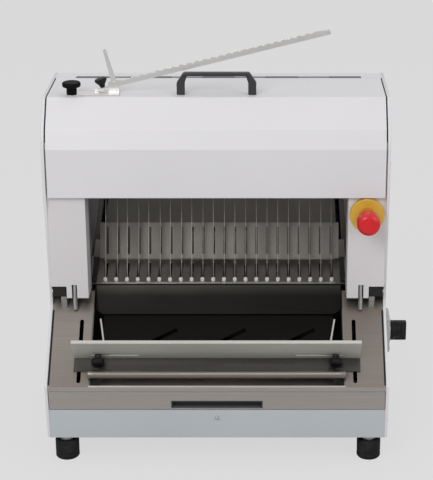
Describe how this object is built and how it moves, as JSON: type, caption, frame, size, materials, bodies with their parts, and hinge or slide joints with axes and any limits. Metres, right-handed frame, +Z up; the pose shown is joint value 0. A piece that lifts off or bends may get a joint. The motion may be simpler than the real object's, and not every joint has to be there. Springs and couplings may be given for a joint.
{
  "type": "bread slicer machine",
  "caption": "Bench bread slicer with two reciprocating blade frames, lifting hood, packing trough with sliding fence, crumb drawer and bag holder.",
  "frame": {"origin": "on the bench under the middle of the casing, at the centre of the foot bolt pattern", "axes": "+Z up, -Y towards the front where the sliced loaf comes out, +X to the right seen from the front"},
  "size_m": [0.6435, 0.597, 0.7436],
  "materials": {
    "fence_steel": "satin stainless of the fence",
    "deck_steel": "dull stainless of the front deck",
    "dark_steel": "dark stainless of the feed table and fence foot",
    "white_enamel": "smooth white powder coat",
    "column_enamel": "satin light grey powder coat",
    "front_enamel": "satin pale blue-grey coat",
    "brushed_steel": "brushed stainless sheet",
    "comb_steel": "dull dark stainless",
    "blade_steel": "bright blade steel",
    "plain_steel": "plain zinc plated steel",
    "machined_steel": "machined bright steel",
    "cast_iron": "as cast, lightly oiled",
    "motor_paint": "hammered dark blue-grey",
    "black_rubber": "matt moulded rubber",
    "black_plastic": "fine matt moulded plastic",
    "nylon": "white nylon",
    "holder_steel": "light polished stainless",
    "red_plastic": "red moulded plastic",
    "yellow_plastic": "yellow moulded plastic"
  },
  "bodies": {
    "casing": {"left_side_panel": "white_enamel", "right_side_panel": "white_enamel", "base_pan": "plain_steel", "lower_front_panel": "front_enamel", "left_column": "column_enamel", "right_column": "column_enamel", "left_inner_plate": "plain_steel", "right_inner_plate": "plain_steel", "front_table": "deck_steel", "comb_plate": "comb_steel", "blade_guides": "nylon", "comb_end_blocks": "black_plastic", "feed_table": "dark_steel", "rear_panel": "white_enamel", "rear_top_cover": "white_enamel", "feet": "black_rubber", "foot_spacers": "plain_steel", "guide_blocks": "nylon", "cross_bars": "plain_steel", "panel_screws": "plain_steel", "motor_body": "motor_paint", "motor_bracket": "plain_steel", "bearing_blocks": "cast_iron", "power_inlet": "black_plastic", "stop_ring": "yellow_plastic", "switch_plate": "plain_steel", "hinge_pin": "plain_steel", "table_catches": "black_plastic", "catch_pins": "plain_steel", "drive_belt": "black_rubber"},
    "hood": {"hood": "white_enamel", "hood_handle": "black_plastic"},
    "bag_holder": {"holder_base": "holder_steel"},
    "holder_knob": {"holder_knob": "black_plastic"},
    "holder_jaw": {"holder_jaw": "holder_steel"},
    "clamp_knob": {"clamp_knob": "black_plastic"},
    "fence": {"fence": "fence_steel", "fence_bar": "brushed_steel"},
    "left_guide": {"left_guide_wire": "machined_steel"},
    "right_guide": {"right_guide_wire": "machined_steel"},
    "left_guide_knob": {"left_guide_knob": "black_plastic"},
    "right_guide_knob": {"right_guide_knob": "black_plastic"},
    "drawer": {"crumb_drawer": "brushed_steel", "drawer_pull": "black_plastic"},
    "pusher": {"pusher_plate": "comb_steel", "pusher_handle": "black_plastic"},
    "stop_stem": {"stop_stem": "red_plastic"},
    "stop_head": {"stop_head": "red_plastic"},
    "switch_knob": {"switch_knob": "black_plastic"},
    "crank": {"eccentric_shaft": "machined_steel", "large_pulley": "cast_iron"},
    "motor_rotor": {"motor_pulley": "cast_iron"},
    "connecting_rod": {"connecting_rod": "machined_steel"},
    "rocker": {"rocker_shaft": "machined_steel", "rocker_arms": "machined_steel", "rocker_rollers": "nylon"},
    "front_frame": {"front_blade_frame": "machined_steel", "front_blades": "blade_steel"},
    "rear_frame": {"rear_blade_frame": "machined_steel", "rear_blades": "blade_steel"}
  },
  "joints": [
    {"name": "hood_hinge", "type": "hinge", "parent": "casing", "child": "hood", "pos_m": [0, 0.001, 0.624], "axis": [1, 0, 0], "range_deg": [-75, 0]},
    {"name": "holder_swivel", "type": "hinge", "parent": "hood", "child": "bag_holder", "pos_m": [-0.25, -0.132, 0.631], "axis": [0, 0, 1], "range_deg": [-60, 80]},
    {"name": "holder_knob_turn", "type": "hinge", "parent": "hood", "child": "holder_knob", "pos_m": [-0.25, -0.132, 0.64], "axis": [0, 0, 1], "range_deg": [0, 180]},
    {"name": "jaw_lift", "type": "hinge", "parent": "bag_holder", "child": "holder_jaw", "pos_m": [-0.178, -0.116, 0.649], "axis": [0, -1, 0], "range_deg": [0, 12]},
    {"name": "clamp_knob_turn", "type": "hinge", "parent": "bag_holder", "child": "clamp_knob", "pos_m": [-0.19772, -0.116, 0.6413], "axis": [-0.2419, 0, 0.9703], "range_deg": [0, 180]},
    {"name": "fence_slide", "type": "slide", "parent": "casing", "child": "fence", "axis": [0, 0.7547, 0.6561], "range_m": [-0.02, 0.07]},
    {"name": "left_guide_slide", "type": "slide", "parent": "fence", "child": "left_guide", "axis": [1, 0, 0], "range_m": [0, 0.05]},
    {"name": "right_guide_slide", "type": "slide", "parent": "fence", "child": "right_guide", "axis": [-1, 0, 0], "range_m": [0, 0.05]},
    {"name": "left_guide_knob_turn", "type": "hinge", "parent": "left_guide", "child": "left_guide_knob", "pos_m": [-0.208, -0.26304, 0.19078], "axis": [0, 0.7547, 0.6561], "range_deg": [0, 180]},
    {"name": "right_guide_knob_turn", "type": "hinge", "parent": "right_guide", "child": "right_guide_knob", "pos_m": [0.208, -0.26304, 0.19078], "axis": [0, 0.7547, 0.6561], "range_deg": [0, 180]},
    {"name": "drawer_slide", "type": "slide", "parent": "casing", "child": "drawer", "axis": [0, -1, 0], "range_m": [0, 0.24]},
    {"name": "pusher_slide", "type": "slide", "parent": "casing", "child": "pusher", "axis": [0, 0.9397, 0.342], "range_m": [0, 0.2]},
    {"name": "stop_press", "type": "slide", "parent": "casing", "child": "stop_stem", "axis": [0, 1, 0], "range_m": [0, 0.004]},
    {"name": "stop_twist", "type": "hinge", "parent": "stop_stem", "child": "stop_head", "pos_m": [0.2615, -0.2, 0.4315], "axis": [0, 1, 0], "range_deg": [0, 30]},
    {"name": "switch_turn", "type": "hinge", "parent": "casing", "child": "switch_knob", "pos_m": [0.3, -0.146, 0.196], "axis": [1, 0, 0], "range_deg": [0, 90]},
    {"name": "crank_spin", "type": "hinge", "parent": "casing", "child": "crank", "pos_m": [0.2, 0.049, 0.11], "axis": [1, 0, 0], "continuous": true},
    {"name": "motor_spin", "type": "hinge", "parent": "casing", "child": "motor_rotor", "pos_m": [0.2, 0.189, 0.13], "axis": [1, 0, 0], "continuous": true},
    {"name": "connecting_rod_pin", "type": "hinge", "parent": "crank", "child": "connecting_rod", "pos_m": [0.285, 0.049, 0.125], "axis": [1, 0, 0], "continuous": true},
    {"name": "rocker_swing", "type": "hinge", "parent": "casing", "child": "rocker", "pos_m": [0, -0.17253, 0.09197], "axis": [1, 0, 0], "range_deg": [-14.3, 14.3]},
    {"name": "front_frame_slide", "type": "slide", "parent": "casing", "child": "front_frame", "axis": [0, 0.342, 0.9397], "range_m": [-0.0101, 0.0101]},
    {"name": "rear_frame_slide", "type": "slide", "parent": "casing", "child": "rear_frame", "axis": [0, 0.342, 0.9397], "range_m": [-0.0101, 0.0101]}
  ],
  "couplings": [
    {"joint": "motor_spin", "follows": "crank_spin", "ratio": 2.13},
    {"joint": "connecting_rod_pin", "follows": "crank_spin", "ratio": -1},
    {"joint": "front_frame_slide", "follows": "rocker_swing", "m_per_rad": -0.04},
    {"joint": "rear_frame_slide", "follows": "rocker_swing", "m_per_rad": 0.04}
  ]
}
